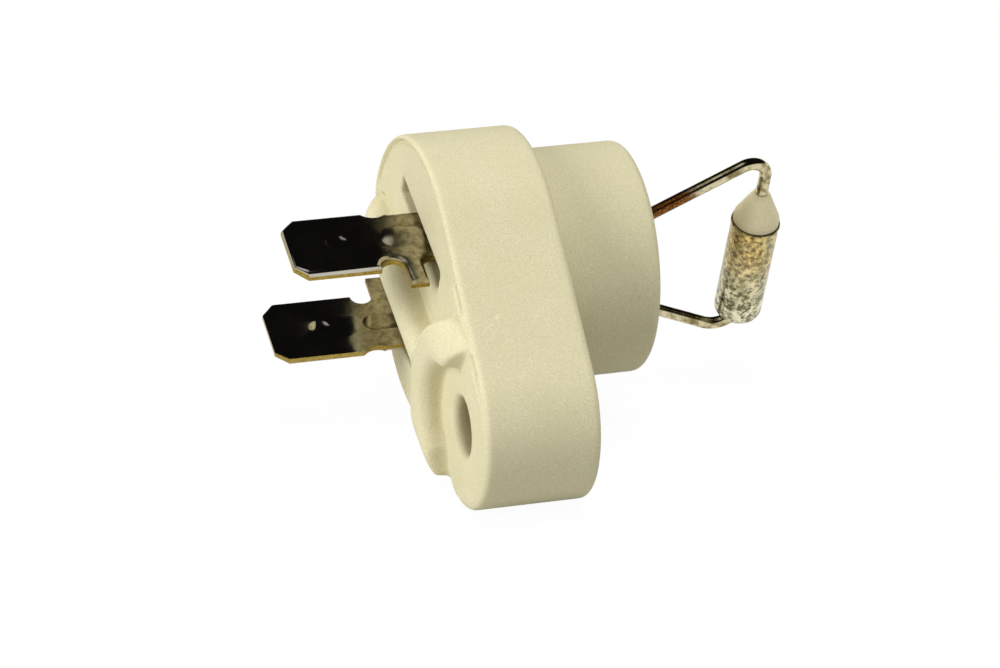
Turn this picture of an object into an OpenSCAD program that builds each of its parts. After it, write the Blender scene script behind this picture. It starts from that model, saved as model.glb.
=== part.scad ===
// Thermal cut-off on a ceramic holder: a pear-shaped flange with a round boss,
// two push-on blade tabs on one side, and a sealed cartridge held by its own
// two leads on the other.
//
// Every piece is drawn in a bench frame: +z runs along the boss axis towards
// the cartridge with the seating face at z = 0, +x runs from the screw hole
// towards the boss, and +y points out of the flank that faces up.
// laid() then turns the whole part so that it lies on its other flat flank,
// with the boss axis along +X.

/* [Flange] */
// Radius of the flange round the boss
big_r = 12.3; // [11.8:0.1:14]
// Radius of the flange round the screw hole
small_r = 7; // [6.4:0.1:7.6]
// Distance between the two arc centres
arc_distance = 14.7; // [14:0.1:16.5]
// How far the large arc's centre lies from the boss axis
arc_offset = 1.5; // [0.5:0.1:2.2]
// Thickness from the seating face to the lip
flange_t = 9.2; // [8:0.1:12]
// Rounding of the outer edges
edge_r = 0.5; // [0.2:0.05:0.8]
// Width of the low lip round the tab side
lip_w = 0.7; // [0.4:0.1:1]
// Height of the lip above the land
lip_h = 0.25; // [0.1:0.05:0.5]

/* [Boss] */
// Diameter of the boss
boss_d = 18.6; // [17:0.1:19.6]
// Length of the boss
boss_l = 8.8; // [6:0.1:14]
// Rounding of the boss's end
boss_edge_r = 1.2; // [0.4:0.1:2]

/* [Screw hole] */
// Diameter of the screw hole
screw_d = 4.5; // [3.2:0.1:5.2]
// Rounding at the mouth of the screw hole
screw_mouth_r = 0.5; // [0.2:0.1:0.8]
// Distance from the boss axis to the screw hole
screw_offset = 16.9; // [16.4:0.1:17.6]
// Radius of the clear space for the screw's head
screw_head_r = 5.4; // [4.8:0.1:5.8]

/* [Barrier] */
// Height of the rib and the barrier above the land
rib_h = 2.3; // [1.5:0.1:3]
// Thickness of the rib between the tabs
rib_t = 2.6; // [2:0.1:3.2]
// Radius of the rib's sloping end
rib_nose_r = 6; // [4:0.1:8]
// Distance from the boss axis to where the rib's end starts to slope
rib_straight = 4.5; // [3:0.1:5.5]
// Radius of the barrier's crest round the screw hole
barrier_r = 7.2; // [6.8:0.1:7.4]
// Thickness of the barrier
barrier_t = 3.1; // [2.6:0.1:3.6]
// Fall of the barrier towards the screw end, in degrees
barrier_fall = 19.5; // [14:0.5:24]
// Distance from the boss axis at which the barrier stops
barrier_end = 15.4; // [14.6:0.1:16]

/* [Tab pockets] */
// Depth of a pocket below the lip
pocket_depth = 5; // [3:0.1:6.5]
// Play between a tab and the long walls of its pocket
pocket_side_play = 0.25; // [0.15:0.05:0.4]
// Play between a tab's foot and the end of its pocket
pocket_foot_play = 0.45; // [0.2:0.05:0.7]
// Open length of a pocket past the blade's plain edge
pocket_spare = 3.55; // [2:0.05:4]
// Rounding of a pocket's corners
pocket_corner_r = 0.4; // [0.2:0.1:0.8]

/* [Blade tabs] */
// Width of the blade
tab_w = 6.3; // [4.8:0.1:6.4]
// Thickness of the sheet
tab_t = 0.8; // [0.5:0.05:0.9]
// Reach of the tip past the lip
tab_reach = 10.5; // [9:0.1:14]
// Chamfer of the tip's corners
tab_chamfer = 1; // [0.5:0.1:1.5]
// Length of the bevel at the tip
tip_bevel_l = 1.2; // [0.6:0.1:2]
// Depth of the bevels on each face
bevel_depth = 0.18; // [0.05:0.01:0.22]
// Width of the bevels along the blade's long edges
edge_bevel_w = 0.35; // [0.1:0.05:0.6]
// Shift of a tab's middle along the flange
tab_shift = 1.2; // [1:0.1:1.4]
// Distance from the boss axis to the upper tab's inner face
upper_tab_inset = 4.9; // [4.8:0.05:5.2]
// Distance from the boss axis to the lower tab's inner face
lower_tab_inset = 5.75; // [5.4:0.05:5.8]
// How far the foot stands out past the blade's edge
foot_w = 2.7; // [1.5:0.1:2.9]
// Height of the foot's shoulder above the lip
foot_rise = 1.6; // [1:0.1:2.2]
// Radius of the round relief at the foot
relief_r = 0.95; // [0.6:0.05:1.2]
// Radius of the hollow in the edge opposite the foot
hollow_r = 3; // [2:0.1:4]
// Depth of that hollow
hollow_depth = 0.65; // [0.3:0.05:0.9]
// Diameter of the latching dimple
dimple_d = 1.9; // [1:0.1:2.4]
// Depth of the dimple on each face
dimple_depth = 0.22; // [0.1:0.02:0.3]
// Distance of the dimple from the tip
dimple_offset = 3.9; // [3.2:0.1:5]
// Radius of the ridge pressed out over the lead
ridge_r = 0.95; // [0.8:0.05:1.2]
// Height of that ridge above the sheet
ridge_h = 0.45; // [0.3:0.05:0.6]
// Reach of the ridge past the lip
ridge_reach = 3.3; // [2:0.1:4]

/* [Leads] */
// Diameter of the leads
lead_d = 1; // [0.8:0.05:1.05]
// Clearance round a lead in the piece that holds it
lead_clearance = 0.02; // [0.01:0.01:0.06]
// Play of a lead in its bore through the holder
lead_bore_play = 0.12; // [0.06:0.01:0.2]
// Length of straight lead outside the boss
lead_stub = 0.3; // [0.1:0.1:1]
// Bend radius where a lead turns out of the boss
exit_bend_r = 1; // [0.8:0.1:1.4]
// Bend radius at the top of the isolated lead
top_bend_r = 1.6; // [1.2:0.1:1.8]
// Bend radius at the bottom of the case lead
bottom_bend_r = 2; // [1.4:0.1:2.2]
// Bend radius where the case lead meets the case
case_bend_r = 0.55; // [0.52:0.01:0.6]
// Rise of the isolated lead's corner above the seal
loop_rise = 4.25; // [3.6:0.05:4.3]
// Drop of the case lead's bottom corner below the case
bottom_drop = 1.3; // [1:0.05:1.45]
// Distance of that corner from the cartridge's axis, towards the boss
bottom_setback = 1.85; // [1.7:0.05:2.4]
// Distance of that corner from the cartridge's axis, sideways
bottom_side = 0.15; // [0:0.05:0.4]
// Distance of the case lead's last corner below the case
case_stub = 0.35; // [0.3:0.05:0.5]

/* [Cartridge] */
// Distance from the boss's end to the cartridge's axis
cartridge_offset = 10.95; // [9.5:0.05:14]
// Height of the case's rim above the boss axis
rim_y = 2.4; // [1.8:0.1:3]
// Length of the case
case_l = 10.15; // [9.6:0.05:11]
// Diameter of the case
case_d = 3.9; // [3.7:0.05:4.2]
// Wall of the case
case_wall = 0.2; // [0.15:0.01:0.25]
// Thickness of the case's closed end
case_floor = 0.4; // [0.3:0.05:0.5]
// Rounding of the closed end
case_end_r = 0.9; // [0.5:0.1:1]
// Height of the crimped rim
rim_h = 0.3; // [0.2:0.05:0.4]
// How far the crimped rim stands out
rim_out = 0.06; // [0.02:0.01:0.1]
// Radius of the hole left by the crimp
rim_hole_r = 1.5; // [1.35:0.05:1.6]
// Height of the seal above the rim
seal_h = 3; // [2.4:0.1:3.4]
// Straight height at the seal's foot
seal_foot_h = 0.75; // [0.4:0.05:1]
// Radius of the seal at its foot
seal_r = 1.88; // [1.6:0.02:1.9]
// Radius of the seal round the lead at its tip
seal_tip_r = 0.68; // [0.6:0.02:0.8]

/* [Works] */
// Length of the ceramic bushing
bushing_l = 1.8; // [1.4:0.1:2.2]
// Reach of the isolated lead's contact head past the bushing
contact_reach = 1.3; // [1.1:0.1:1.6]
// Running clearance of the loose pieces in the case
works_clearance = 0.05; // [0.02:0.01:0.1]
// Diameter of the lead heads
head_d = 1.9; // [1.5:0.05:2]
// Thickness of the lead heads
head_t = 0.3; // [0.2:0.05:0.4]
// Length of the thermal pellet
pellet_l = 2.4; // [2:0.1:2.8]
// Thickness of the two discs
disc_t = 0.2; // [0.15:0.01:0.25]
// Thickness of the star contact
star_t = 0.25; // [0.15:0.01:0.3]
// Number of petals on the star contact
star_petals = 8; // [6:1:10]
// Radius of the star contact's uncut middle
star_hub_r = 1.05; // [0.8:0.05:1.3]
// Width of the slots between the petals
star_slot_w = 0.27; // [0.15:0.01:0.35]
// Play of the springs inside the case
spring_play = 0.15; // [0.05:0.01:0.2]
// Wire diameter of the barrel spring
barrel_wire_d = 0.36; // [0.25:0.01:0.4]
// Turns of the barrel spring
barrel_turns = 4; // [3:1:5]
// Coil radius at the barrel spring's ends
barrel_end_r = 1.02; // [0.8:0.02:1.2]
// Wire diameter of the trip spring
trip_wire_d = 0.26; // [0.2:0.01:0.3]
// Turns of the trip spring
trip_turns = 3; // [2:1:3]

/* [Hidden] */

$fn = 64;
// Overrun of a cut past the face it opens
cut = 1;
// Depth to which the barrier's root goes into the flange
root_depth = 2;
// Facets round a wire, and the turn between two rings in its bends
wire_sides = 12;
bend_step = 10;

// Flange outline
big_x = -arc_offset;
small_x = big_x - arc_distance;
flank_angle = asin((big_r - small_r) / arc_distance);
flank_l = arc_distance * cos(flank_angle);
land_z = -flange_t + lip_h;
crest_z = land_z - rib_h;

// Screw hole and barrier
screw_x = -screw_offset;
barrier_crest_x = screw_x + barrier_r * cos(barrier_fall);
barrier_plane_z = crest_z + (barrier_crest_x - screw_x) * tan(barrier_fall);
barrier_depth = rib_h + root_depth;

// Pockets and tabs
tab_half_w = tab_w / 2;
tip_z = -flange_t - tab_reach;
shoulder_z = -flange_t - foot_rise;
ridge_z = -flange_t - ridge_reach;
dimple_z = tip_z + dimple_offset;
relief_z = shoulder_z - relief_r;
hollow_z = relief_z + relief_r / 2;
pocket_floor_z = -flange_t + pocket_depth;
pocket_foot_x = -tab_shift - tab_half_w - foot_w - pocket_foot_play;
pocket_l = -tab_shift + tab_half_w + pocket_spare - pocket_foot_x;
pocket_inset = upper_tab_inset - pocket_side_play;
pocket_w = lower_tab_inset + tab_t + ridge_h + pocket_side_play - pocket_inset;

// Cartridge, along its own axis from the closed end
cartridge_z = boss_l + cartridge_offset;
case_end_y = rim_y - case_l;
case_inner_r = case_d / 2 - case_wall;
works_r = case_inner_r - works_clearance;
case_floor_y = case_end_y + case_floor;
lead_head_top_y = case_floor_y + head_t;
pellet_top_y = lead_head_top_y + pellet_l;
bushing_top_y = rim_y - rim_h;
bushing_foot_y = bushing_top_y - bushing_l;
star_top_y = bushing_foot_y - contact_reach;
upper_disc_top_y = star_top_y - star_t;
barrel_top_y = upper_disc_top_y - disc_t;
barrel_foot_y = pellet_top_y + disc_t;
seal_top_y = rim_y + seal_h;

// Leads
lead_r = lead_d / 2;
lead_hole_r = lead_r + lead_clearance;
lead_bore_inset = (upper_tab_inset + lower_tab_inset) / 2;
lead_bore_d = lead_d + lower_tab_inset - upper_tab_inset + 2 * lead_bore_play;
lead_start_z = ridge_z + ridge_r;
exit_z = boss_l + lead_stub;
upper_lead_path = [[-tab_shift, upper_tab_inset, lead_start_z],
                   [-tab_shift, upper_tab_inset, exit_z],
                   [0, seal_top_y + loop_rise, cartridge_z],
                   [0, star_top_y + head_t / 2, cartridge_z]];
lower_lead_path = [[tab_shift, -lower_tab_inset, lead_start_z],
                   [tab_shift, -lower_tab_inset, exit_z],
                   [bottom_side, case_end_y - bottom_drop, cartridge_z - bottom_setback],
                   [0, case_end_y - case_stub, cartridge_z],
                   [0, case_floor_y + head_t / 2, cartridge_z]];

// Turns the bench frame to the part's own frame, lying on its flank
module laid() {
    rotate([flank_angle, 0, 0])
        rotate(a = 120, v = [1, 1, 1])
            children();
}

function unit(v) = v / norm(v);

// Half section of a disc with both edges rounded
module rounded_section(r, h, edge) {
    square([r - edge, h]);
    translate([0, edge])
        square([r, h - 2 * edge]);
    for (y = [edge, h - edge])
        translate([r - edge, y])
            circle(edge);
}

// Pear-shaped outline, drawn in by an inset
module pear(inset = 0) {
    flank = [-sin(flank_angle), cos(flank_angle)];
    big_tangent = (big_r - inset) * flank;
    small_tangent = (small_r - inset) * flank;
    translate([big_x, 0])
        circle(big_r - inset);
    translate([small_x, 0])
        circle(small_r - inset);
    polygon([[big_x + big_tangent.x, big_tangent.y],
             [small_x + small_tangent.x, small_tangent.y],
             [small_x + small_tangent.x, -small_tangent.y],
             [big_x + big_tangent.x, -big_tangent.y]]);
}

// Pear-shaped slab with rounded edges
module pear_slab() {
    translate([0, 0, -flange_t]) {
        translate([big_x, 0, 0])
            rotate_extrude()
                rounded_section(big_r, flange_t, edge_r);
        translate([small_x, 0, 0])
            rotate_extrude()
                rounded_section(small_r, flange_t, edge_r);
        for (side = [0, 1])
            mirror([0, side, 0])
                translate([big_x, 0, 0])
                    rotate([0, 0, 90 + flank_angle])
                        translate([big_r - small_r, flank_l, 0])
                            rotate([90, 0, 0])
                                linear_extrude(flank_l)
                                    rounded_section(small_r, flange_t, edge_r);
    }
}

// Rib that keeps the two tabs apart, with a round crest and a sloping end
module rib() {
    root_x = screw_x + barrier_r;
    translate([rib_straight, 0, crest_z + rib_nose_r])
        rotate([90, 0, 0])
            rotate_extrude(angle = -90)
                rib_section();
    translate([root_x, 0, crest_z + rib_nose_r])
        rotate([90, 0, 90])
            linear_extrude(rib_straight - root_x)
                rotate([0, 0, -90])
                    rib_section();
}

// Section of the rib, from its root out to a round crest
module rib_section() {
    crest_r = rib_t / 2;
    translate([0, -crest_r])
        square([rib_nose_r - crest_r, rib_t]);
    translate([rib_nose_r - crest_r, 0])
        circle(crest_r);
}

// Barrier ring round the screw's head, falling away towards the screw end
module barrier() {
    crest_r = barrier_t / 2;
    translate([screw_x, 0, barrier_plane_z])
        rotate([0, barrier_fall, 0])
            rotate_extrude() {
                translate([barrier_r, crest_r])
                    circle(crest_r);
                translate([barrier_r - crest_r, crest_r])
                    square([barrier_t, barrier_depth]);
            }
}

// Part of the outline that the rib and the barrier may fill
module tab_side_area() {
    intersection() {
        pear(edge_r);
        translate([-barrier_end, -big_r])
            square([barrier_end + 2 * big_r, 2 * big_r]);
    }
}

// Outline of a pocket with rounded corners
module pocket_outline() {
    inner_l = pocket_l - 2 * pocket_corner_r;
    inner_w = pocket_w - 2 * pocket_corner_r;
    square([inner_l, pocket_w], center = true);
    square([pocket_l, inner_w], center = true);
    for (x = [-0.5, 0.5], y = [-0.5, 0.5])
        translate([x * inner_l, y * inner_w])
            circle(pocket_corner_r);
}

// What is cut away for one tab and its lead
module tab_pocket() {
    translate([pocket_foot_x + pocket_l / 2, pocket_inset + pocket_w / 2, pocket_floor_z])
        mirror([0, 0, 1])
            linear_extrude(pocket_depth + cut)
                pocket_outline();
    translate([-tab_shift, lead_bore_inset, -flange_t - cut])
        cylinder(d = lead_bore_d, h = flange_t + boss_l + 2 * cut);
}

// Screw hole with a rounded mouth
module screw_hole() {
    mouth = screw_mouth_r;
    translate([screw_x, 0, land_z]) {
        translate([0, 0, -cut])
            cylinder(d = screw_d, h = -land_z + 2 * cut);
        rotate_extrude()
            difference() {
                square([screw_d / 2 + mouth, mouth]);
                translate([screw_d / 2 + mouth, mouth])
                    circle(mouth);
            }
    }
}

// Pressed and fired ceramic body: flange, boss, rib, barrier, pockets and holes
module ceramic_holder() {
    color("ivory")
        laid()
            difference() {
                union() {
                    difference() {
                        pear_slab();
                        translate([0, 0, land_z - lip_h - cut])
                            linear_extrude(lip_h + cut)
                                pear(lip_w);
                    }
                    difference() {
                        intersection() {
                            union() {
                                rib();
                                barrier();
                            }
                            translate([0, 0, crest_z - cut])
                                linear_extrude(rib_h + 2 * cut)
                                    tab_side_area();
                        }
                        translate([screw_x, 0, crest_z - 2 * cut])
                            cylinder(r = screw_head_r, h = rib_h + 4 * cut);
                    }
                    translate([0, 0, -edge_r])
                        rotate_extrude() {
                            square([boss_d / 2, boss_l + edge_r - boss_edge_r]);
                            square([boss_d / 2 - boss_edge_r, boss_l + edge_r]);
                            translate([boss_d / 2 - boss_edge_r, boss_l + edge_r - boss_edge_r])
                                circle(boss_edge_r);
                        }
                }
                screw_hole();
                tab_pocket();
                rotate([0, 0, 180])
                    tab_pocket();
            }
}

// Outline of a tab: blade, relief, foot and hollow edge, in the x-z plane
module tab_outline() {
    half = tab_half_w;
    difference() {
        union() {
            polygon([[-half, pocket_floor_z], [-half, tip_z + tab_chamfer], [-half + tab_chamfer, tip_z],
                     [half - tab_chamfer, tip_z], [half, tip_z + tab_chamfer], [half, pocket_floor_z]]);
            translate([-half - foot_w, shoulder_z])
                square([foot_w + relief_r, pocket_floor_z - shoulder_z]);
        }
        translate([-half, relief_z])
            circle(relief_r);
        translate([half + hollow_r - hollow_depth, hollow_z])
            circle(hollow_r);
    }
}

// Thickness of a tab along its length, bevelled at the tip
module tab_side() {
    polygon([[0, pocket_floor_z], [0, tip_z + tip_bevel_l], [bevel_depth, tip_z],
             [tab_t - bevel_depth, tip_z], [tab_t, tip_z + tip_bevel_l], [tab_t, pocket_floor_z]]);
}

// Cross-section of the blade, bevelled along its long edges
module blade_section() {
    half = tab_half_w;
    polygon([[-half, bevel_depth], [-half + edge_bevel_w, 0], [half - edge_bevel_w, 0], [half, bevel_depth],
             [half, tab_t - bevel_depth], [half - edge_bevel_w, tab_t],
             [-half + edge_bevel_w, tab_t], [-half, tab_t - bevel_depth]]);
}

// One blade tab, stamped with a foot, a latching dimple and a ridge over its lead
module tab() {
    dimple_ball_r = (pow(dimple_d / 2, 2) + pow(dimple_depth, 2)) / (2 * dimple_depth);
    ridge_y = tab_t + ridge_h - ridge_r;
    difference() {
        union() {
            intersection() {
                translate([0, tab_t, 0])
                    rotate([90, 0, 0])
                        linear_extrude(tab_t)
                            tab_outline();
                translate([-tab_w, 0, 0])
                    rotate([90, 0, 90])
                        linear_extrude(2 * tab_w)
                            tab_side();
                union() {
                    translate([0, 0, tip_z])
                        linear_extrude(relief_z - tip_z)
                            blade_section();
                    translate([-tab_w, 0, relief_z])
                        cube([2 * tab_w, tab_t, pocket_floor_z - relief_z]);
                }
            }
            intersection() {
                translate([0, ridge_y, lead_start_z]) {
                    cylinder(r = ridge_r, h = pocket_floor_z - lead_start_z);
                    sphere(ridge_r);
                }
                translate([-ridge_r, tab_t / 2, ridge_z])
                    cube([2 * ridge_r, tab_t + ridge_h, pocket_floor_z - ridge_z]);
            }
        }
        for (y = [dimple_depth - dimple_ball_r, tab_t - dimple_depth + dimple_ball_r])
            translate([0, y, dimple_z])
                sphere(dimple_ball_r);
        translate([0, 0, lead_start_z]) {
            cylinder(r = lead_hole_r, h = pocket_floor_z - lead_start_z + cut);
            sphere(lead_hole_r);
        }
    }
}

// Tab on the flank that faces up, plated sheet
module upper_tab() {
    color("gray")
        laid()
            translate([-tab_shift, upper_tab_inset, 0])
                tab();
}

// The same tab, turned half round the boss axis
module lower_tab() {
    color("gray")
        laid()
            rotate([0, 0, 180])
                translate([-tab_shift, lower_tab_inset, 0])
                    tab();
}

// Centre points along a path whose inner corners are rounded to the given bend radii
function rounded_path(path, bends) =
    let (last = len(path) - 1)
    [path[0],
     for (i = [1 : last - 1])
         let (before = unit(path[i] - path[i - 1]),
              after = unit(path[i + 1] - path[i]),
              turn = acos(before * after),
              inward = unit(after - before),
              centre = path[i] + inward * bends[i - 1] / cos(turn / 2),
              steps = ceil(turn / bend_step))
         for (k = [0 : steps])
             let (a = turn * (k / steps - 0.5))
             centre - bends[i - 1] * (cos(a) * inward - sin(a) * unit(before + after)),
     path[last]];

// Round wire of one diameter swept along a path with rounded corners
module bent_wire(path, bends, d) {
    points = rounded_path(path, bends);
    last = len(points) - 1;
    headings = [for (i = [0 : last])
        unit(unit(points[min(i + 1, last)] - points[min(i, last - 1)])
             + unit(points[max(i, 1)] - points[max(i - 1, 0)]))];
    // Sideways direction of each ring, carried along the path so that the wire doesn't twist
    sideways = [for (i = 0, s = unit(cross(headings[0], [1, 0, 0])); i <= last;
                     i = i + 1, s = i <= last ? unit(s - (s * headings[i]) * headings[i]) : s) s];
    rings = [for (i = [0 : last], k = [0 : wire_sides - 1])
        let (b = 360 * k / wire_sides)
        points[i] + d / 2 * (cos(b) * sideways[i] + sin(b) * cross(headings[i], sideways[i]))];
    walls = [for (i = [0 : last - 1], k = [0 : wire_sides - 1])
        [i * wire_sides + k, (i + 1) * wire_sides + k,
         (i + 1) * wire_sides + (k + 1) % wire_sides, i * wire_sides + (k + 1) % wire_sides]];
    first_end = [for (k = [0 : wire_sides - 1]) k];
    last_end = [for (k = [0 : wire_sides - 1]) (last + 1) * wire_sides - 1 - k];
    polyhedron(rings, concat(walls, [first_end, last_end]));
}

// Places what is turned about +z onto the cartridge's axis, which runs along +y
module on_cartridge() {
    translate([0, 0, cartridge_z])
        rotate([-90, 0, 0])
            children();
}

// Lead from the upper tab through the holder, round and down into the bushing, with a contact head
module isolated_lead() {
    color("silver")
        laid() {
            bent_wire(upper_lead_path, [exit_bend_r, top_bend_r], lead_d);
            on_cartridge()
                translate([0, 0, star_top_y])
                    cylinder(d = head_d, h = head_t);
        }
}

// Lead from the lower tab through the holder to the case's closed end, headed over inside
module case_lead() {
    color("silver")
        laid() {
            bent_wire(lower_lead_path, [exit_bend_r, bottom_bend_r, case_bend_r], lead_d);
            on_cartridge()
                translate([0, 0, case_floor_y])
                    cylinder(d = head_d, h = head_t);
        }
}

// Drawn metal case with a round closed end and a crimped rim
module cartridge_case() {
    outer_r = case_d / 2;
    color("lightgray")
        laid()
            on_cartridge()
                difference() {
                    union() {
                        translate([0, 0, case_end_y])
                            rotate_extrude() {
                                square([outer_r - case_end_r, case_l]);
                                translate([0, case_end_r])
                                    square([outer_r, case_l - case_end_r]);
                                translate([outer_r - case_end_r, case_end_r])
                                    circle(case_end_r);
                            }
                        translate([0, 0, rim_y - rim_h])
                            rotate_extrude()
                                rounded_section(outer_r + rim_out, rim_h, rim_h / 3);
                    }
                    translate([0, 0, case_floor_y])
                        cylinder(r = case_inner_r, h = bushing_top_y - case_floor_y);
                    translate([0, 0, bushing_top_y - cut])
                        cylinder(r = rim_hole_r, h = rim_h + 2 * cut);
                    translate([0, 0, case_end_y - cut])
                        cylinder(r = lead_hole_r, h = case_floor + 2 * cut);
                }
}

// Resin seal drawn up the lead in a cone, keyed into the crimp
module seal() {
    color("linen")
        laid()
            on_cartridge()
                difference() {
                    union() {
                        translate([0, 0, bushing_top_y])
                            cylinder(r = rim_hole_r, h = rim_h + seal_foot_h);
                        translate([0, 0, rim_y])
                            rotate_extrude()
                                polygon([[0, 0], [seal_r, 0], [seal_r, seal_foot_h],
                                         [seal_tip_r, seal_h], [0, seal_h]]);
                    }
                    translate([0, 0, bushing_top_y - cut])
                        cylinder(r = lead_hole_r, h = rim_h + seal_h + 2 * cut);
                }
}

// Ceramic bushing that keeps the isolated lead clear of the case
module bushing() {
    color("white")
        laid()
            on_cartridge()
                translate([0, 0, bushing_foot_y])
                    difference() {
                        cylinder(r = works_r, h = bushing_l);
                        translate([0, 0, -cut])
                            cylinder(r = lead_hole_r, h = bushing_l + 2 * cut);
                    }
}

// Helical spring between two heights, its coil radius swelling from the ends to the middle
module coil_spring(foot, top, end_r, middle_r, wire_d, turns) {
    sides = 6;
    steps_per_turn = 14;
    steps = turns * steps_per_turn;
    rise = top - foot - wire_d;
    function coil_r(t) = end_r + (middle_r - end_r) * sin(180 * t);
    function ring(t) = [for (k = [0 : sides - 1])
        let (a = 360 * turns * t, b = 360 * k / sides, r = coil_r(t) + wire_d / 2 * cos(b))
        [r * cos(a), r * sin(a), foot + wire_d / 2 + rise * t + wire_d / 2 * sin(b)]];
    points = [for (i = [0 : steps]) each ring(i / steps)];
    sides_faces = [for (i = [0 : steps - 1], k = [0 : sides - 1])
        [i * sides + k, (i + 1) * sides + k, (i + 1) * sides + (k + 1) % sides, i * sides + (k + 1) % sides]];
    first_end = [for (k = [0 : sides - 1]) k];
    last_end = [for (k = [0 : sides - 1]) steps * sides + sides - 1 - k];
    polyhedron(points, concat(sides_faces, [first_end, last_end]));
}

// Trip spring between the bushing and the star contact, round the contact head
module trip_spring() {
    coil_r = works_r - spring_play - trip_wire_d / 2;
    color("dimgray")
        laid()
            on_cartridge()
                coil_spring(star_top_y, bushing_foot_y, coil_r, coil_r, trip_wire_d, trip_turns);
}

// Sprung star contact, whose petals slide on the case's wall
module star_contact() {
    color("goldenrod")
        laid()
            on_cartridge()
                translate([0, 0, star_top_y - star_t])
                    difference() {
                        cylinder(r = works_r, h = star_t);
                        for (i = [0 : star_petals - 1])
                            rotate([0, 0, 360 * i / star_petals])
                                translate([star_hub_r, -star_slot_w / 2, -cut])
                                    cube([works_r, star_slot_w, star_t + 2 * cut]);
                    }
}

// Disc between the star contact and the barrel spring
module upper_disc() {
    color("silver")
        laid()
            on_cartridge()
                translate([0, 0, upper_disc_top_y - disc_t])
                    cylinder(r = works_r, h = disc_t);
}

// Barrel spring, pressed together for as long as the pellet is solid
module barrel_spring() {
    middle_r = works_r - spring_play - barrel_wire_d / 2;
    color("dimgray")
        laid()
            on_cartridge()
                coil_spring(barrel_foot_y, barrel_top_y, barrel_end_r, middle_r, barrel_wire_d, barrel_turns);
}

// Disc between the barrel spring and the pellet
module lower_disc() {
    color("silver")
        laid()
            on_cartridge()
                translate([0, 0, pellet_top_y])
                    cylinder(r = works_r, h = disc_t);
}

// Thermal pellet that melts at the set temperature
module thermal_pellet() {
    color("khaki")
        laid()
            on_cartridge()
                translate([0, 0, lead_head_top_y])
                    cylinder(r = works_r, h = pellet_l);
}

ceramic_holder();
upper_tab();
lower_tab();
isolated_lead();
case_lead();
cartridge_case();
seal();
bushing();
trip_spring();
star_contact();
upper_disc();
barrel_spring();
lower_disc();
thermal_pellet();
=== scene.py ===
import math

import bmesh
import bpy
import numpy
from mathutils import Matrix, Vector


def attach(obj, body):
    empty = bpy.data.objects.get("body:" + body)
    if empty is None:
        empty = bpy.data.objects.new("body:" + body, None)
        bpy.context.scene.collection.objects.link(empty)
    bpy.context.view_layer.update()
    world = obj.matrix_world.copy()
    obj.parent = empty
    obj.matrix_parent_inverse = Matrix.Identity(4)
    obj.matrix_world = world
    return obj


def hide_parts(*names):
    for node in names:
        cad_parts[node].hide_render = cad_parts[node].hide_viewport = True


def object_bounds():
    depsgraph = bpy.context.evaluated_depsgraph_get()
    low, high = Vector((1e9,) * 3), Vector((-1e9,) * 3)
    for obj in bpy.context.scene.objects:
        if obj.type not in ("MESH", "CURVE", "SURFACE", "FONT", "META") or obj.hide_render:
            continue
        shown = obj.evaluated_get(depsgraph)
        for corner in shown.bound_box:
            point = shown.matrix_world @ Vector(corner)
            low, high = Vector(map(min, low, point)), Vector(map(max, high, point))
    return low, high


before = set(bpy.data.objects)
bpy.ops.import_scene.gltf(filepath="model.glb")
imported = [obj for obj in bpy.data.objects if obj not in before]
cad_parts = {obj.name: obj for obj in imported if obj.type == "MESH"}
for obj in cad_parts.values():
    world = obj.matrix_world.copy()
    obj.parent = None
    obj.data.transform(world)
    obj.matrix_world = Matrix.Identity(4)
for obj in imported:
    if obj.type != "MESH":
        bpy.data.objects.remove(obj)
cad_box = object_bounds()


# Ceramic holder: an unglazed technical ceramic, pressed from powder in a die and fired.
# Its edges and inner corners are soft, and its cream skin shows the fine grain of the powder.
class Tone:
    """One output in a node tree. Sums and products of tones add their Math nodes."""

    def __init__(self, tree, socket=None):
        self.tree, self.socket = tree, socket

    def node(self, kind, settings=None, sockets=None, out=0):
        made = self.tree.nodes.new(kind)
        for key, value in (settings or {}).items():
            setattr(made, key, value)
        for key, value in (sockets or {}).items():
            if isinstance(value, Tone):
                self.tree.links.new(value.socket, made.inputs[key])
            else:
                made.inputs[key].default_value = value
        return Tone(self.tree, made.outputs[out])

    def maths(self, operation, first, second=0.0):
        return self.node("ShaderNodeMath", {"operation": operation}, {0: first, 1: second})

    def __add__(self, other):
        return self.maths("ADD", self, other)

    __radd__ = __add__

    def __mul__(self, other):
        return self.maths("MULTIPLY", self, other)

    __rmul__ = __mul__

    def __sub__(self, other):
        return self.maths("SUBTRACT", self, other)

    def __rsub__(self, other):
        return self.maths("SUBTRACT", other, self)

    def noise(self, place, scale, detail=2.0, roughness=0.5):
        return self.node("ShaderNodeTexNoise", {}, {"Vector": place, "Scale": scale, "Detail": detail,
                                                    "Roughness": roughness}, "Fac")

    def between(self, low, high, start=0.0, end=1.0):
        return self.node("ShaderNodeMapRange", {"interpolation_type": "SMOOTHSTEP"},
                         {"Value": self, "From Min": low, "From Max": high, "To Min": start, "To Max": end})

    def mixed(self, first, second):
        colours = [(*c, 1) if isinstance(c, tuple) else c for c in (first, second)]
        return self.node("ShaderNodeMix", {"data_type": "RGBA"}, {0: self, 6: colours[0], 7: colours[1]}, 2)

    def bump(self, strength, height):
        return self.node("ShaderNodeBump", {}, {"Height": self, "Strength": strength, "Distance": height}, "Normal")


def new_finish(name):
    finish = bpy.data.materials.new(name)
    finish.use_nodes = True
    return finish, Tone(finish.node_tree), finish.node_tree.nodes["Principled BSDF"]


def lay_on(shader, sockets):
    for key, value in sockets.items():
        if isinstance(value, Tone):
            value.tree.links.new(value.socket, shader.inputs[key])
        else:
            shader.inputs[key].default_value = value


def placed(name, mesh):
    piece = bpy.data.objects.new(name, mesh)
    bpy.context.scene.collection.objects.link(piece)
    return piece


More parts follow.
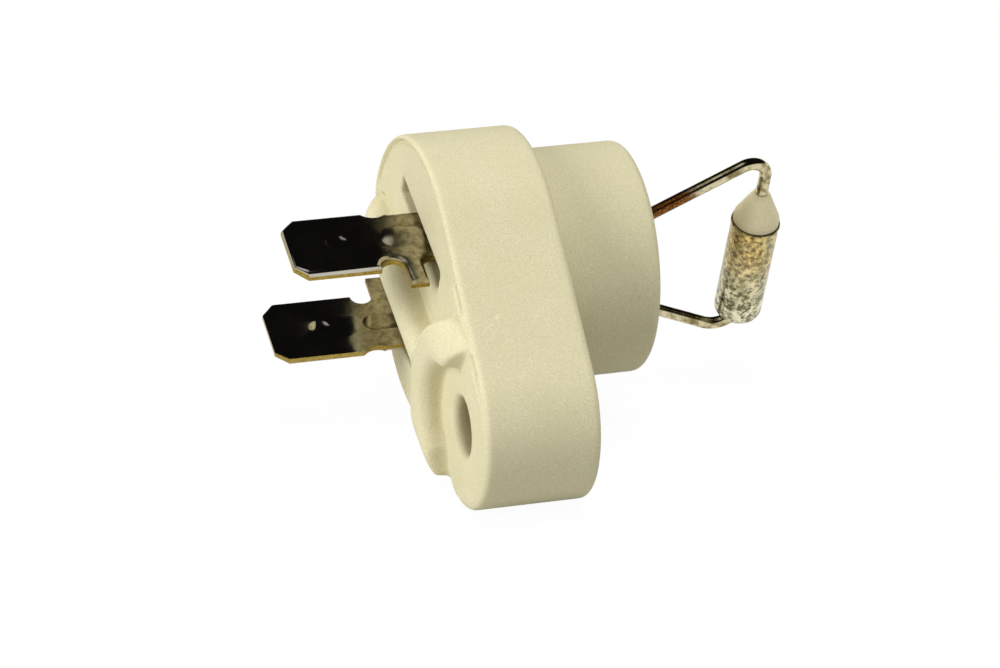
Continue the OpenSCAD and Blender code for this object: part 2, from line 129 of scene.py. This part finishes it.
def merged_copy(node, name):
    """A copy of a node of the construction, with its split vertices merged."""
    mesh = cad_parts[node].data.copy()
    mesh.name = name
    mesh.materials.clear()
    if "custom_normal" in mesh.attributes:
        mesh.attributes.remove(mesh.attributes["custom_normal"])
    merged = bmesh.new()
    merged.from_mesh(mesh)
    bmesh.ops.remove_doubles(merged, verts=merged.verts, dist=1e-7)
    merged.to_mesh(mesh)
    merged.free()
    return placed(name, mesh)


def settle(piece):
    """Turns a piece and its live modifiers into one plain mesh."""
    shaped = bpy.data.meshes.new_from_object(piece.evaluated_get(bpy.context.evaluated_depsgraph_get()))
    piece.modifiers.clear()
    piece.data = shaped
    shaped.name = piece.name
    return piece


big_x, big_r, small_x, small_r = -1.5, 12.3, -16.2, 7.0
flank_angle = math.asin((big_r - small_r) / (big_x - small_x))
lie_on_flank = Matrix.Rotation(flank_angle, 3, "X")


def on_bench(x, y, z):
    """A point of the construction's bench frame, in millimetres, as it lies on the flank."""
    return lie_on_flank @ Vector((z, x, y)) / 1000


def shell(name, points, faces):
    mesh = bpy.data.meshes.new(name)
    mesh.from_pydata([on_bench(*p) for p in points], [], faces)
    turned_out = bmesh.new()
    turned_out.from_mesh(mesh)
    bmesh.ops.remove_doubles(turned_out, verts=turned_out.verts, dist=1e-8)
    bmesh.ops.recalc_face_normals(turned_out, faces=turned_out.faces)
    turned_out.to_mesh(mesh)
    turned_out.free()
    return placed(name, mesh)


def walled(count):
    """Faces of a prism whose two outlines follow each other in the list of points."""
    walls = [(i, (i + 1) % count, count + (i + 1) % count, count + i) for i in range(count)]
    return [tuple(range(count)), tuple(range(count, 2 * count)), *walls]


def block(outline, low, high, along="z"):
    """A flat outline carried from low to high along the bench's x or z axis."""
    place = {"x": lambda u, v, w: (w, u, v), "z": lambda u, v, w: (u, v, w)}[along]
    return shell("block", [place(u, v, w) for w in (low, high) for u, v in outline], walled(len(outline)))


def turned(name, profile, place, steps=96):
    """A closed half section of (radius, height) points, turned round an axis that place sets in the bench frame."""
    count, points, faces = len(profile), [], []
    for k in range(steps):
        a = 2 * math.pi * k / steps
        points += [place(r * math.cos(a), r * math.sin(a), h) for r, h in profile]
        after = (k + 1) % steps
        faces += [(k * count + i, k * count + (i + 1) % count, after * count + (i + 1) % count, after * count + i)
                  for i in range(count) if profile[i][0] + profile[(i + 1) % count][0] > 0]
    return shell(name, points, faces)


def arc(x, y, r, start, end, steps=24):
    turns = [math.radians(start + (end - start) * k / steps) for k in range(steps + 1)]
    return [(x + r * math.cos(a), y + r * math.sin(a)) for a in turns]


def oblong(left, low, right, high):
    return [(left, low), (right, low), (right, high), (left, high)]


def worked(piece, operation, *tools):
    """Cuts, joins or trims a piece by tool bodies, which are used up."""
    for tool in tools:
        step = piece.modifiers.new("step", "BOOLEAN")
        step.operation, step.object, step.solver = operation, tool, "EXACT"
        settle(piece)
        bpy.data.objects.remove(tool)
    return piece


fired_ceramic, tone, shader = new_finish("fired_ceramic")
place = tone.node("ShaderNodeTexCoord", out="Object")
grain = tone.noise(place, 9000, 3, 0.7)
cloud = tone.noise(place, 260, 3, 0.55)
pores = tone.noise(place, 1150, 1).between(0.77, 0.83)
cream = cloud.between(0.3, 0.7).mixed((0.76, 0.70, 0.455), (0.80, 0.74, 0.505))
cream = grain.between(0.32, 0.68).mixed((0.63, 0.58, 0.36), cream)
reach = tone.node("ShaderNodeSeparateXYZ", {}, {"Vector": place}, "X")
flat = tone.node("ShaderNodeVectorMath", {"operation": "MULTIPLY"}, {0: place, 1: (0, 1, 1)})
screw_axis = (0, -0.015763, -0.006093)
from_screw = tone.node("ShaderNodeVectorMath", {"operation": "DISTANCE"}, {0: flat, 1: screw_axis}, "Value")
# Inside the screw hole, below the seat, the cream turns dark brown: painted shade deep in the recess.
stain_and_painted_shade = (1 - from_screw.between(0.0024, 0.0029)) * reach.between(-0.0094, -0.0078) * (0.6 + 0.4 * cloud)
cream = (stain_and_painted_shade * 0.8).mixed(cream, (0.25, 0.18, 0.05))
lay_on(shader, {"Base Color": (pores * 0.5).mixed(cream, (0.25, 0.21, 0.11)),
                "Roughness": grain.between(0.2, 0.8, 0.62, 0.8),
                "Specular IOR Level": 0.3,
                "Normal": (grain + cloud * 0.4).bump(0.4, 0.00005)})

lip_z, seat_z, crest_z, arm_x = -9.2, -9.3, -11.25, -13.15
back_x, back_r, bay_x, bay_r = -19.2, 10.0, -16.2, 4.45
crest_half, far_longer, shoulder_r = 3.6, 0.4, 4.35
screw_x, screw_r, rib_half = -16.9, 2.25, 1.3
arm_slope, arm_cos, arm_sin = 0.3865, 0.9327, 0.3605
pocket_in, pocket_out, pocket_mouth, pocket_floor = 4.3, 7.6, -8.95, -4
boss_r, boss_end_z, boss_edge_r, boss_bore_r = 9.3, 8.8, 0.6, 7.8
wide = 14
leaning = math.degrees(flank_angle)


def pear(inset):
    return (arc(big_x, 0, big_r - inset, -90 - leaning, 90 + leaning, 96)
            + arc(small_x, 0, small_r - inset, 90 + leaning, 270 - leaning, 64))


# The ring that stands for the barrier in the construction gives way to one with a level crest, round shoulders,
# a round bay for the screw's head and two arms that end square to the flanks.
holder = merged_copy("ceramic_holder", "pressed_holder")
worked(holder, "DIFFERENCE", block(oblong(-26, -wide, -8, wide), -14, lip_z + 0.01))
rib_end = block([(-rib_half, -8)] + arc(0, crest_z + rib_half, rib_half, 180, 360) + [(rib_half, -8)], -11, -7.5, "x")
barrier = block(pear(0.12), -13, -8.3)
far_trim = [(u, v + 0.9) for u, v in pear(0.12)]
shoulders = (arc(-crest_half - far_longer, crest_z + shoulder_r, shoulder_r, 180, 270)
             + arc(crest_half, crest_z + shoulder_r, shoulder_r, 270, 360))
worked(barrier, "INTERSECT", block(far_trim, -14, -8), block(arc(back_x, 0, back_r, 0, 358, 179), -14, -8),
       block(shoulders, -30, 0, "x"))
past_arms = [(arm_x, 0), (arm_x - arm_slope * wide, wide), (-30, wide), (-30, -wide), (arm_x - arm_slope * wide, -wide)]
worked(barrier, "DIFFERENCE", block(arc(bay_x, 0, bay_r, 0, 357, 119), -14, -8), block(past_arms, -14, -8))
seat = worked(block(pear(0.45), seat_z, -8.4), "INTERSECT", block(oblong(-30, -wide, -10.5, wide), -10, -8))
worked(seat, "DIFFERENCE", block(arc(screw_x, 0, screw_r, 0, 356.25, 95), -11, -7))
pocket_ends = [block([(s * u, s * v) for u, v in oblong(near, pocket_in, far, pocket_out)], pocket_mouth, pocket_floor)
               for s in (1, -1) for near, far in ((4.95, 6.3), (-8.3, -6.5))]
pocket_ends.append(block(oblong(-8.3, 6.45, 6.3, pocket_out), pocket_mouth, pocket_floor))
boss_section = ([(boss_bore_r, 3), (boss_r, 3)]
                + arc(8.7, 8.2, boss_edge_r, 0, 90, 8) + [(boss_bore_r, boss_end_z)])
boss_end = turned("boss_end", boss_section, lambda u, v, h: (u, v, h), 160)

joined = bmesh.new()
joined.from_mesh(holder.data)
for part in (rib_end, barrier, seat, boss_end, *pocket_ends):
    joined.from_mesh(part.data)
    bpy.data.objects.remove(part)
joined.to_mesh(holder.data)
joined.free()
die = holder.modifiers.new("die", "REMESH")
die.mode, die.voxel_size, die.use_smooth_shade = "VOXEL", 0.00014, True
settle(holder)

# The edges are then rounded by moving the mesh's points, in the bench frame.
spots = numpy.empty(3 * len(holder.data.vertices))
holder.data.vertices.foreach_get("co", spots)
to_bench = numpy.array(lie_on_flank)
z, x, y = (spots.reshape(-1, 3) @ to_bench * 1000).T


def eased(depth_a, out_a, depth_b, radius, where=True):
    """Rounds the edge between an upright wall and a face of the tab side, from each point's depth under both."""
    short_a, short_b = radius - depth_a, radius - depth_b
    reach = numpy.hypot(short_a, short_b)
    inside = (numpy.minimum(short_a, short_b) > 0) & (numpy.minimum(depth_a, depth_b) > -0.15)
    pull = numpy.where(inside & (reach > radius) & where, 1 - radius / numpy.maximum(reach, 1e-6), 0)
    return x - out_a[0] * pull * short_a, y - out_a[1] * pull * short_a, z + pull * short_b


def round_wall(centre_x, radius):
    """Distance outside an upright round wall, and the direction out of it."""
    span = numpy.maximum(numpy.hypot(x - centre_x, y), 1e-6)
    return span - radius, ((x - centre_x) / span, y / span)


def softly(value, low, high):
    t = numpy.clip((value - low) / (high - low), 0, 1)
    return t * t * (3 - 2 * t)


along = -(x - big_x) * math.cos(flank_angle) - numpy.abs(y) * math.sin(flank_angle)
across = -(x - big_x) * math.sin(flank_angle) + numpy.abs(y) * math.cos(flank_angle)
from_big, big_out = round_wall(big_x, big_r)
from_small, small_out = round_wall(small_x, small_r)
flank_out = numpy.full_like(x, -math.sin(flank_angle)), numpy.sign(y) * math.cos(flank_angle)
zones = [along < 0, along > math.cos(flank_angle) * (big_x - small_x)]
rim_depth = numpy.select(zones, [-from_big, -from_small], big_r - across)
rim_out = [numpy.select(zones, [b, s], f) for b, s, f in zip(big_out, small_out, flank_out)]
far_rim = softly(-y, -1.0, 4.0) * softly(x, -18, -13)
x, y, z = eased(rim_depth, rim_out, z - lip_z, 0.5 + 2.5 * far_rim)

bay_depth, bay_out = round_wall(bay_x, bay_r)
past_crest = numpy.maximum(numpy.abs(y + far_longer / 2) - crest_half - far_longer / 2, 0)
drop = numpy.sqrt(numpy.maximum(shoulder_r ** 2 - past_crest ** 2, 0))
top_z = crest_z + shoulder_r - drop
x, y, z = eased(bay_depth, [-v for v in bay_out], z - top_z, 1.1, x > -17)
end_depth = (x + arm_slope * numpy.abs(y) - arm_x) * arm_cos
end_out = numpy.full_like(x, -arm_cos), -arm_sin * numpy.sign(y)
x, y, z = eased(end_depth, end_out, z - top_z, 0.6, (bay_depth > 0) & (rim_depth > 0.5))
back_depth, back_out = round_wall(back_x, back_r)
x, y, z = eased(-back_depth, back_out, z - top_z, 0.55, numpy.abs(y) > 1.3)
mouth_depth, mouth_out = round_wall(screw_x, screw_r)
x, y, z = eased(mouth_depth, [-v for v in mouth_out], z - seat_z, 0.65)

# A fine groove runs inside the near edge. The rib and the boss are drawn out to their full length.
groove_depth, groove_half, rib_longer, boss_longer = 0.7, 0.24, 0.6, 0.2
crease = numpy.clip(1 - numpy.abs(rim_depth - 0.55) / groove_half, 0, 1)
crease = crease * (numpy.abs(z - lip_z) < 0.3) * softly(y, 0, 2)
by_screw = softly(-x, 16.2, 16.6) * (1 - softly(-x, 17.0, 20.5))
z = z + groove_depth * crease * numpy.where(x > -14.5, softly(x, -13.2, -12.6), by_screw)
on_rib = (z < -8.98) & (numpy.abs(y) < 1.45) & (x < 9.5)
x = x + rib_longer * numpy.clip(x / 4.5, 0, 1) * on_rib
z = z + boss_longer * softly(z, 6.5, 8.3)
spots = numpy.stack((z, x, y), axis=1) / 1000 @ to_bench.T
holder.data.vertices.foreach_set("co", spots.ravel())
holder.data.update()

most_triangles = 190000
worn = holder.vertex_groups.new(name="worn")
arm_ends = (numpy.abs(end_depth) < 1.6) & (z < -9.36) & (numpy.abs(y) > 3.5)
worn.add(numpy.flatnonzero(arm_ends).tolist(), 1.0, "REPLACE")
firing = holder.modifiers.new("firing", "SMOOTH")
firing.factor, firing.iterations = 0.5, 3
wear = holder.modifiers.new("wear", "SMOOTH")
wear.factor, wear.iterations, wear.vertex_group = 0.5, 40, "worn"
thinning = holder.modifiers.new("thinning", "DECIMATE")
thinning.ratio = min(1.0, most_triangles / sum(len(face.vertices) - 2 for face in holder.data.polygons))
settle(holder)
holder.data.shade_smooth()
holder.data.materials.append(fired_ceramic)
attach(holder, "root")
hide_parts("ceramic_holder")

# Blade tabs: two like stampings of nickel-plated brass strip, 6.3 by 0.8 mm, standing in the holder's
# pockets. The plating is bright on both faces, and the sheared edges show the yellow brass.
sheet_normal = lie_on_flank @ Vector((0, 0, 1))

plated_brass, tone, shader = new_finish("plated_brass")
place = tone.node("ShaderNodeTexCoord", out="Object")
sheared = tone.node("ShaderNodeAttribute", {"attribute_name": "sheared"}, out="Fac")
smudge = tone.noise(place, 420, 4, 0.6)
fine = tone.noise(place, 6000, 2)
reach = tone.node("ShaderNodeSeparateXYZ", {}, {"Vector": place}, "X")
stain_and_painted_shade = tone.noise(place, 1900, 4, 0.7)
heat = (reach + smudge * 0.003).between(-0.0125, -0.0098)
tarnish = stain_and_painted_shade.between(0.36, 0.6).mixed((0.31, 0.26, 0.15), (0.52, 0.47, 0.34))
plate = heat.mixed((0.50, 0.48, 0.41), tarnish)
brass = fine.between(0.3, 0.7).mixed((0.26, 0.18, 0.03), (0.42, 0.31, 0.08))
lay_on(shader, {"Base Color": sheared.mixed(plate, brass),
                "Metallic": 1.0,
                "Roughness": smudge.between(0.3, 0.75, 0.07, 0.15) + heat * 0.2 + sheared * 0.2,
                "Normal": (fine + smudge * 2).bump(0.12, 0.00002)})

tab_w, tab_t, tab_foot, tab_tip = 6.3, 0.8, -4.2, -19.7
shear_r, tip_bevel, tip_l, dimple_r, dimple_depth, dimple_z = 0.42, 0.12, 1.2, 2.125, 0.2, -15.8
ridge_r, ridge_out, groove_r, groove_out, ridge_z = 1.8, 0.45, 1.0, 0.52, -11.06
half = tab_w / 2


def tab_outline(set_back):
    """Blade, ear between two reliefs, and hollow edge. set_back moves all but the blade's ends towards the holder."""
    ear, relief = -11.05 + set_back, -11.95 + set_back
    ear_out, hollow = -half - 1.95, half - 0.35
    return ([(-half, tab_foot)] + arc(-half, ear + 2.35, 0.85, 90, -90, 20) + [(ear_out, ear + 1.5), (ear_out, ear)]
            + arc(-half, relief, 0.9, 90, -90, 20)
            + [(-half, tab_tip + 1), (-half + 1, tab_tip), (half - 1, tab_tip), (half, tab_tip + 1)]
            + arc(half + 0.85, relief - 0.1, 1.35, 231, 144, 20) + [(hollow, relief + 0.75), (hollow, tab_foot)])


def stamped_tab(name, node, turn, side, inset, set_back):
    """A tab in its pocket. turn is 1, or -1 for one that is set half round the boss axis."""
    def at(u, v, w):
        return turn * (u + side), turn * (v + inset), w

    def bar(r, v, low, high):
        return turned("bar", [(0, low - r)] + arc(0, low, r, -86, 0, 12) + [(r, high), (0, high)],
                      lambda a, b, h: at(a, b + v, h), 64)

    def dimple(v):
        return turned("dimple", arc(0, 0, dimple_r, -88, 88, 60),
                      lambda a, b, h: at(a, b + v, h + dimple_z + set_back / 2), 96)

    outline = tab_outline(set_back)
    tab = shell(name, [at(u, v, w) for v in (0, tab_t) for u, w in outline], walled(len(outline)))
    outer = on_bench(*at(0, tab_t, 0)) - on_bench(*at(0, 0, 0))
    press = bmesh.new()
    press.from_mesh(tab.data)
    face = max(press.faces, key=lambda f: f.normal.dot(outer) * f.calc_area())
    bmesh.ops.bevel(press, geom=list(face.edges), offset=shear_r / 1000, segments=4, profile=0.5,
                    affect="EDGES", clamp_overlap=False)
    press.to_mesh(tab.data)
    press.free()
    side_view = [(0, tab_foot + 1), (0, tab_tip + tip_l), (tip_bevel, tab_tip),
                 (tab_t - tip_bevel, tab_tip), (tab_t, tab_tip + tip_l), (tab_t, tab_foot + 1)]
    side_view = [(turn * (v + inset), w) for v, w in side_view]
    worked(tab, "INTERSECT", block(side_view, -14, 14, "x"))
    ridge = worked(bar(ridge_r, tab_t + ridge_out - ridge_r, ridge_z, tab_foot), "INTERSECT",
                   block([at(u, v, 0)[:2] for u, v in oblong(-2, 0.4, 2, 2)], -16, -3))
    worked(tab, "UNION", ridge)
    dimples = [dimple(dimple_depth - dimple_r), dimple(tab_t - dimple_depth + dimple_r)]
    worked(tab, "DIFFERENCE", bar(groove_r, groove_out - groove_r, ridge_z, tab_foot + 1), *dimples)
    mark = tab.data.attributes.new("sheared", "FLOAT", "FACE")
    for face in tab.data.polygons:
        mark.data[face.index].value = float(abs(face.normal @ sheet_normal) < 0.3)
    tab.data.shade_smooth()
    tab.data.set_sharp_from_angle(angle=math.radians(28))
    tab.data.materials.clear()
    tab.data.materials.append(plated_brass)
    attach(tab, "root")
    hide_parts(node)


stamped_tab("upper_blade", "upper_tab", 1, -1.2, 4.9, 0)
stamped_tab("lower_blade", "lower_tab", -1, -1.2, 5.75, 0.6)

# Leads: stiff tinned copper wire of 1 mm, welded into the tabs, brought through the boss and bent by hand
# to carry the cartridge. Each ends in a small head inside the case.
wire_r = 0.0005
head_r, head_t = 0.00095, 0.0003
cartridge_z = 19.75

wire_tree = bpy.data.node_groups.new("bent_wire", "GeometryNodeTree")
for name, kind in (("Route", "Geometry"), ("Wire Radius", "Float"), ("Head Radius", "Float"),
                   ("Head Thickness", "Float"), ("Head Centre", "Vector"), ("Head Turn", "Float"),
                   ("Finish", "Material")):
    wire_tree.interface.new_socket(name, in_out="INPUT", socket_type="NodeSocket" + kind)
wire_tree.interface.new_socket("Wire", in_out="OUTPUT", socket_type="NodeSocketGeometry")
steps = {}
for name, kind in (("given", "NodeGroupInput"), ("line", "GeometryNodeMeshToCurve"),
                   ("bend", "GeometryNodeInputNamedAttribute"), ("fillet", "GeometryNodeFilletCurve"),
                   ("round", "GeometryNodeCurvePrimitiveCircle"), ("sweep", "GeometryNodeCurveToMesh"),
                   ("head", "GeometryNodeMeshCylinder"), ("turn", "ShaderNodeCombineXYZ"),
                   ("seat", "GeometryNodeTransform"), ("join", "GeometryNodeJoinGeometry"),
                   ("real", "GeometryNodeRealizeInstances"), ("paint", "GeometryNodeSetMaterial"),
                   ("made", "NodeGroupOutput")):
    steps[name] = wire_tree.nodes.new(kind)
steps["bend"].inputs["Name"].default_value = "bend"
steps["fillet"].mode = "POLY"
steps["fillet"].inputs["Count"].default_value = 14
steps["round"].inputs["Resolution"].default_value = 28
steps["sweep"].inputs["Fill Caps"].default_value = True
steps["head"].inputs["Vertices"].default_value = 40
for source, out, target, into in (
        ("given", "Route", "line", "Mesh"), ("line", "Curve", "fillet", "Curve"),
        ("bend", "Attribute", "fillet", "Radius"), ("given", "Wire Radius", "round", "Radius"),
        ("fillet", "Curve", "sweep", "Curve"), ("round", "Curve", "sweep", "Profile Curve"),
        ("given", "Head Radius", "head", "Radius"), ("given", "Head Thickness", "head", "Depth"),
        ("given", "Head Turn", "turn", "X"), ("head", "Mesh", "seat", "Geometry"),
        ("given", "Head Centre", "seat", "Translation"), ("turn", "Vector", "seat", "Rotation"),
        ("seat", "Geometry", "join", "Geometry"), ("sweep", "Mesh", "join", "Geometry"),
        ("join", "Geometry", "real", "Geometry"), ("real", "Geometry", "paint", "Geometry"),
        ("given", "Finish", "paint", "Material"), ("paint", "Geometry", "made", "Wire")):
    wire_tree.links.new(steps[source].outputs[out], steps[target].inputs[into])


def bent_lead(name, route, bends, finish):
    mesh = bpy.data.meshes.new(name)
    mesh.from_pydata([on_bench(*p) for p in route], [(i, i + 1) for i in range(len(route) - 1)], [])
    radii = mesh.attributes.new("bend", "FLOAT", "POINT")
    for item, radius in zip(radii.data, [0, *bends, 0]):
        item.value = radius / 1000
    lead = placed(name, mesh)
    tool = lead.modifiers.new("bending", "NODES")
    tool.node_group = wire_tree
    given = {"Wire Radius": wire_r, "Head Radius": head_r, "Head Thickness": head_t,
             "Head Centre": on_bench(*route[-1]), "Head Turn": flank_angle, "Finish": finish}
    for item in wire_tree.interface.items_tree:
        if item.in_out == "INPUT" and item.name in given:
            tool[item.identifier] = given[item.name]
    lead.update_tag()
    settle(lead)
    lead.data.shade_smooth()
    lead.data.set_sharp_from_angle(angle=math.radians(40))
    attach(lead, "root")
    return lead


def tinned(name, browned_to):
    """Tinned wire, burnt brown from the tab's end to browned_to, in metres along the boss axis."""
    finish, tone, shader = new_finish(name)
    place = tone.node("ShaderNodeTexCoord", out="Object")
    reach = tone.node("ShaderNodeSeparateXYZ", {}, {"Vector": place}, "X")
    blotch = tone.noise(place, 1500, 3, 0.6)
    fine = tone.noise(place, 7000, 2)
    brown = 1 - (reach + blotch * 0.0016).between(browned_to - 0.0006, browned_to + 0.0012)
    bright = blotch.between(0.32, 0.62).mixed((0.22, 0.17, 0.07), (0.64, 0.57, 0.36))
    burnt = fine.between(0.3, 0.7).mixed((0.07, 0.025, 0.006), (0.30, 0.12, 0.03))
    lay_on(shader, {"Base Color": brown.mixed(bright, burnt),
                    "Metallic": 1.0,
                    "Roughness": blotch.between(0.3, 0.7, 0.2, 0.1) + brown * 0.2,
                    "Normal": (fine + blotch).bump(0.15, 0.00002)})
    return finish


isolated_route = [(-1.2, 4.9, -8.2), (-1.2, 4.9, 9.1), (0, 9.65, cartridge_z), (0, -0.85, cartridge_z)]
isolated = bent_lead("isolated_wire", isolated_route, [1.0, 1.6], tinned("tinned_wire_browned", 0.0139))
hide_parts("isolated_lead")
case_route = [(1.2, -5.75, -8.2), (1.2, -5.75, 9.1), (0.15, -9.05, 17.9),
              (0, -8.1, cartridge_z), (0, -7.2, cartridge_z)]
grounded = bent_lead("case_wire", case_route, [1.0, 2.0, 0.55], tinned("tinned_wire", 0.0085))
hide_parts("case_lead")

# Cartridge case: a deep-drawn copper-alloy can, silver-plated, with its rim rolled in over the seal.
# Heat has tarnished the plating yellow and brown round its upper half, and soot lies on it below.
cartridge_axis = lie_on_flank @ Vector((0, 0, 1))

silvered_case, tone, shader = new_finish("silvered_case")
place = tone.node("ShaderNodeTexCoord", out="Object")
height = tone.node("ShaderNodeVectorMath", {"operation": "DOT_PRODUCT"}, {0: place, 1: cartridge_axis}, "Value")
patch = tone.noise(place, 700, 4, 0.65)
fleck = tone.noise(place, 2600, 3, 0.6)
upper = height.between(-0.006, 0.001)
aged = upper * patch.between(0.34, 0.55)
soot = tone.noise(place, 2300, 5, 0.65).between(0.42, 0.6) * (1 - 0.35 * upper)
silver = patch.between(0.35, 0.6).mixed((0.36, 0.34, 0.18), (0.80, 0.76, 0.52))
straw = fleck.between(0.36, 0.56).mixed((0.24, 0.10, 0.015), (0.80, 0.60, 0.20))
lay_on(shader, {"Base Color": (soot * 0.85).mixed((aged * 0.9).mixed(silver, straw), (0.05, 0.042, 0.015)),
                "Metallic": 1.0,
                "Roughness": fleck.between(0.25, 0.75, 0.14, 0.3) + aged * 0.1,
                "Normal": (patch + fleck).bump(0.5, 0.00008)})
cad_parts["cartridge_case"].data.materials[0] = silvered_case

# Seal: a bead of beige epoxy drawn up the isolated lead in a cone while it set.
# It is matt and slightly grainy, and closes the case over the bushing.
beige_resin, tone, shader = new_finish("beige_resin")
place = tone.node("ShaderNodeTexCoord", out="Object")
cloud = tone.noise(place, 500, 3)
grain = tone.noise(place, 6000, 2, 0.6)
height = tone.node("ShaderNodeVectorMath", {"operation": "DOT_PRODUCT"}, {0: place, 1: cartridge_axis}, "Value")
beige = (cloud * 0.5 + grain * 0.5).between(0.35, 0.65).mixed((0.76, 0.67, 0.41), (0.88, 0.80, 0.51))
# Below the rim's height the seal is painted near black: a painted shadow of the rolled rim round the seal's foot.
lay_on(shader, {"Base Color": (1 - height.between(0.00242, 0.00262)).mixed(beige, (0.07, 0.055, 0.02)),
                "Roughness": grain.between(0.3, 0.7, 0.5, 0.68),
                "Normal": (grain + cloud).bump(0.2, 0.00004)})

seal_foot, seal_r, seal_tip, seal_h = 2.4, 1.88, 0.68, 3.0
plug_r, plug_depth, shoulder_round = 1.45, 0.3, 0.7
seal_section = ([(0, -plug_depth), (plug_r, -plug_depth), (plug_r, 0), (seal_r, 0)]
                + arc(seal_r - shoulder_round, 0.35, shoulder_round, 0, 22.5, 6)
                + [(seal_tip + 0.06, seal_h - 0.12), (seal_tip - 0.08, seal_h), (0, seal_h)])
cone = turned("resin_cone", seal_section, lambda u, v, h: (u, h + seal_foot, v + cartridge_z), 72)
cone.data.shade_smooth()
cone.data.set_sharp_from_angle(angle=math.radians(40))
cone.data.materials.append(beige_resin)
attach(cone, "root")
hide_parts("seal")

# Works of the cut-off, closed up in the case: a white ceramic bushing, a trip spring, a silvered star contact,
# two steel discs, a barrel spring, and the pellet that melts at the set temperature.
white_bushing, tone, shader = new_finish("white_bushing")
grain = tone.noise(tone.node("ShaderNodeTexCoord", out="Object"), 5000, 3)
lay_on(shader, {"Base Color": grain.between(0.3, 0.7).mixed((0.80, 0.80, 0.77), (0.89, 0.89, 0.87)),
                "Roughness": grain.between(0.3, 0.7, 0.55, 0.7)})
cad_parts["bushing"].data.materials[0] = white_bushing


def inner_metal(name, dark, light, rough):
    finish, tone, shader = new_finish(name)
    draw = tone.noise(tone.node("ShaderNodeTexCoord", out="Object"), 3500, 3, 0.6)
    lay_on(shader, {"Base Color": draw.between(0.3, 0.7).mixed(dark, light),
                    "Metallic": 1.0,
                    "Roughness": draw.between(0.3, 0.7, rough, rough + 0.15)})
    return finish


spring_steel = inner_metal("spring_steel", (0.36, 0.36, 0.37), (0.50, 0.50, 0.51), 0.28)
disc_steel = inner_metal("disc_steel", (0.55, 0.55, 0.54), (0.66, 0.66, 0.65), 0.3)
contact_silver = inner_metal("contact_silver", (0.76, 0.73, 0.64), (0.86, 0.84, 0.78), 0.2)
for node, finish in (("trip_spring", spring_steel), ("barrel_spring", spring_steel), ("upper_disc", disc_steel),
                     ("lower_disc", disc_steel), ("star_contact", contact_silver)):
    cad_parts[node].data.materials[0] = finish

pressed_pellet, tone, shader = new_finish("pressed_pellet")
powder = tone.noise(tone.node("ShaderNodeTexCoord", out="Object"), 2800, 4, 0.7)
lay_on(shader, {"Base Color": powder.between(0.3, 0.7).mixed((0.68, 0.64, 0.46), (0.82, 0.79, 0.62)),
                "Roughness": powder.between(0.3, 0.7, 0.6, 0.8)})
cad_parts["thermal_pellet"].data.materials[0] = pressed_pellet


# Table and light: a white sheet under the part, one soft box above it and one on the tabs' side,
# in a room whose walls are white and whose dark ceiling shows in the bright metal.
def rays_seen(tone):
    """Camera rays, and all rays that show a surface as it is: camera, glossy and transmission rays."""
    path = tone.node("ShaderNodeLightPath").socket.node
    camera_ray, glossy_ray, clear_ray = (Tone(tone.tree, path.outputs[n]) for n in
                                         ("Is Camera Ray", "Is Glossy Ray", "Is Transmission Ray"))
    return camera_ray, tone.maths("MINIMUM", camera_ray + glossy_ray + clear_ray, 1.0)


white_sheet, tone, shader = new_finish("white_sheet")
lay_on(shader, {"Base Color": (0.62, 0.62, 0.61, 1), "Roughness": 0.9, "Specular IOR Level": 0.1})
camera_ray, seen = rays_seen(tone)
glow = tone.node("ShaderNodeEmission", {}, {"Color": (1, 1, 1, 1), "Strength": 1.03})
sheet = tone.node("ShaderNodeMixShader", {}, {0: seen * 0.94, 1: Tone(tone.tree, shader.outputs[0]), 2: glow})
tone.tree.links.new(sheet.socket, tone.tree.nodes["Material Output"].inputs["Surface"])
sheet_half, low = 3, cad_box[0].z
sheet_mesh = bpy.data.meshes.new("white_table")
sheet_mesh.from_pydata([(u, v, low) for u, v in oblong(-sheet_half, -sheet_half, sheet_half, sheet_half)],
                       [], [(0, 1, 2, 3)])
sheet_mesh.materials.append(white_sheet)
placed("white_table", sheet_mesh)

room = bpy.data.worlds.new("room")
bpy.context.scene.world = room
room.use_nodes = True
tone = Tone(room.node_tree)
camera_ray, seen = rays_seen(tone)
towards = tone.node("ShaderNodeTexCoord", out="Generated")
rise = tone.node("ShaderNodeSeparateXYZ", {}, {"Vector": towards}, "Z")
window = (-0.56, -0.20, 0.80)
to_window = tone.node("ShaderNodeVectorMath", {"operation": "DOT_PRODUCT"}, {0: towards, 1: window}, "Value")
ceiling = rise.between(0.08, 0.3) * (1 - 0.75 * to_window.between(0.84, 0.96))
shown = (ceiling * (1 - camera_ray)).mixed((1, 1, 1), (0.006, 0.006, 0.006))
fill = seen.mixed((0.28, 0.28, 0.28), shown)
tone.tree.links.new(fill.socket, tone.tree.nodes["Background"].inputs["Color"])


def soft_box(name, towards, watts):
    lamp = bpy.data.lights.new(name, "AREA")
    lamp.shape, lamp.size, lamp.size_y, lamp.energy = "ELLIPSE", 0.4, 0.4, watts
    stand = placed(name, lamp)
    stand.location = Vector(towards).normalized() * 0.6
    stand.rotation_euler = stand.location.to_track_quat("Z", "Y").to_euler()
    stand.visible_glossy = False


soft_box("top_box", (0.1, -0.2, 0.95), 2.2)
soft_box("side_box", (-0.92, -0.15, 0.36), 2.6)

# Camera of the photograph: at arm's length with a long lens, on the near flank's side
# and a little towards the tabs, looking down at the part.
lens = bpy.data.cameras.new("long_lens")
lens.lens, lens.sensor_width = 152.3134, 36
lens.clip_start, lens.clip_end = 0.01, 20
camera = placed("long_lens", lens)
view_point = (-0.09389408, -0.29834994, 0.12651076)
view_axes = Matrix(((0.95670571, 0.1019091, -0.27263295),
                    (-0.29076622, 0.37650215, -0.87960283),
                    (0.01300736, 0.9207935, 0.38983348)))
camera.matrix_world = Matrix.Translation(view_point) @ view_axes.to_4x4()
bpy.context.scene.camera = camera
bpy.context.scene.view_settings.view_transform = "Standard"
